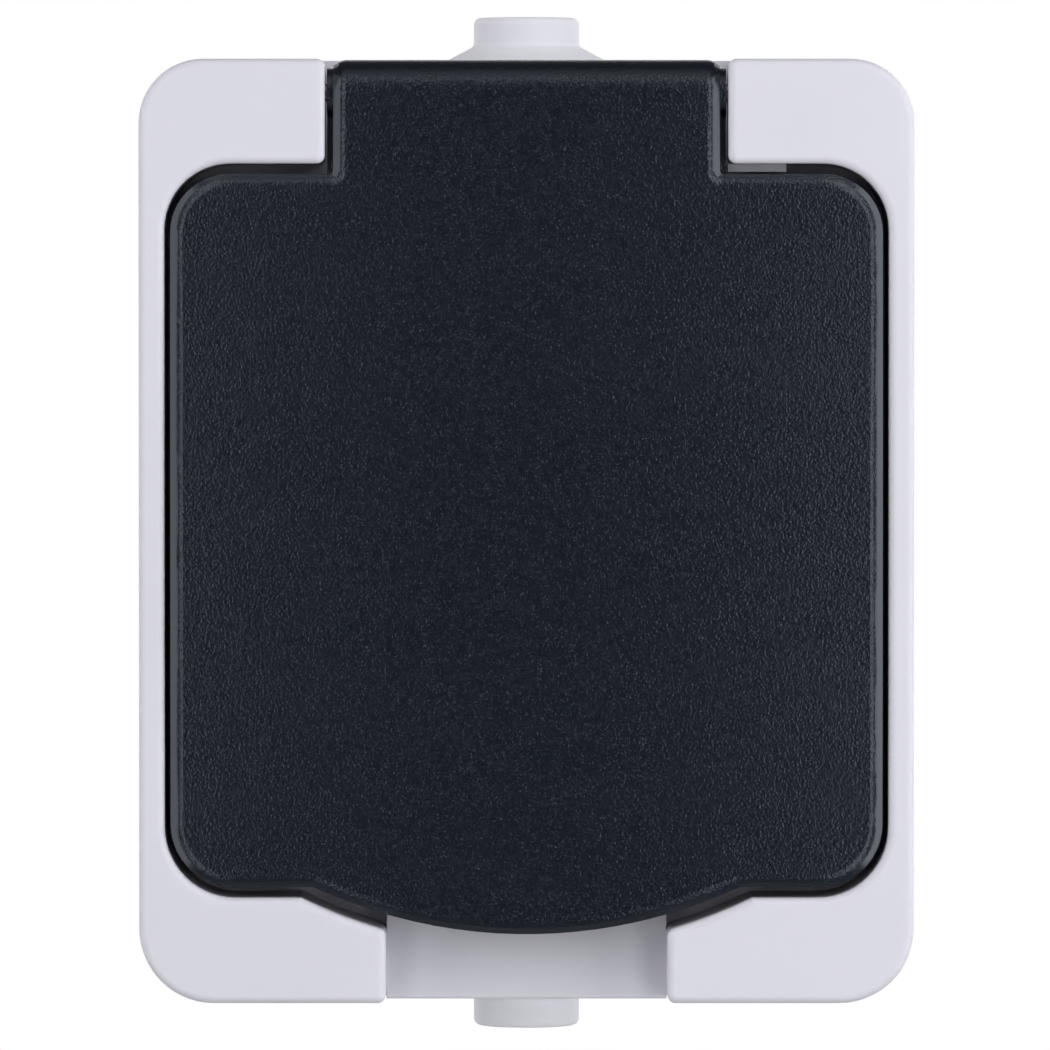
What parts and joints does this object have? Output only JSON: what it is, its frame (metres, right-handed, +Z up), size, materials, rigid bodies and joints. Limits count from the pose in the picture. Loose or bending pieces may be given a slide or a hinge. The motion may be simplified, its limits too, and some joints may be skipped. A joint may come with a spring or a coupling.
{
  "type": "outdoor weatherproof socket",
  "caption": "Surface-mount outdoor power socket: upright grey box with a cable stub above and below, and a black spring lid hinged at the top over a round plug well.",
  "frame": {"origin": "centre of the back face that lies on the wall", "axes": "+X to the viewer's right, +Z up, +Y into the wall, so the lid faces -Y"},
  "size_m": [0.066, 0.0523, 0.0888],
  "materials": {
    "housing_plastic": "light grey moulded plastic, fine satin",
    "insert_plastic": "light grey moulded plastic, satin",
    "carrier_plastic": "pale thermoset",
    "lid_plastic": "black plastic with a fine leather grain",
    "grommet_plastic": "soft light grey plastic",
    "seal_rubber": "soft black rubber",
    "brass_strip": "bright brass strip",
    "nickel_strip": "nickel plated strip",
    "zinc_steel": "zinc plated steel",
    "pin_steel": "bright spring steel"
  },
  "bodies": {
    "housing": {"base_box": "housing_plastic", "front_cover": "housing_plastic", "cover_gasket": "seal_rubber", "cover_screws": "zinc_steel", "socket_insert": "insert_plastic", "insert_seal": "seal_rubber", "insert_screw": "zinc_steel", "contact_carrier": "carrier_plastic", "carrier_screws": "zinc_steel", "live_contact": "brass_strip", "neutral_contact": "brass_strip", "earth_strap": "nickel_strip", "live_clamp": "zinc_steel", "neutral_clamp": "zinc_steel", "earth_clamp": "zinc_steel", "terminal_screws": "zinc_steel", "left_hinge_pin": "pin_steel", "right_hinge_pin": "pin_steel", "lid_spring": "pin_steel", "top_grommet": "grommet_plastic", "bottom_grommet": "grommet_plastic"},
    "lid_flap": {"lid": "lid_plastic", "lid_gasket": "seal_rubber"}
  },
  "joints": [
    {"name": "lid_hinge", "type": "hinge", "parent": "housing", "child": "lid_flap", "pos_m": [0, -0.04892, 0.03735], "axis": [-1, 0, 0], "range_deg": [0, 120], "stiffness_Nm_per_rad": 0.012, "springref_deg": -51.57, "deforming": ["lid_spring"]}
  ]
}
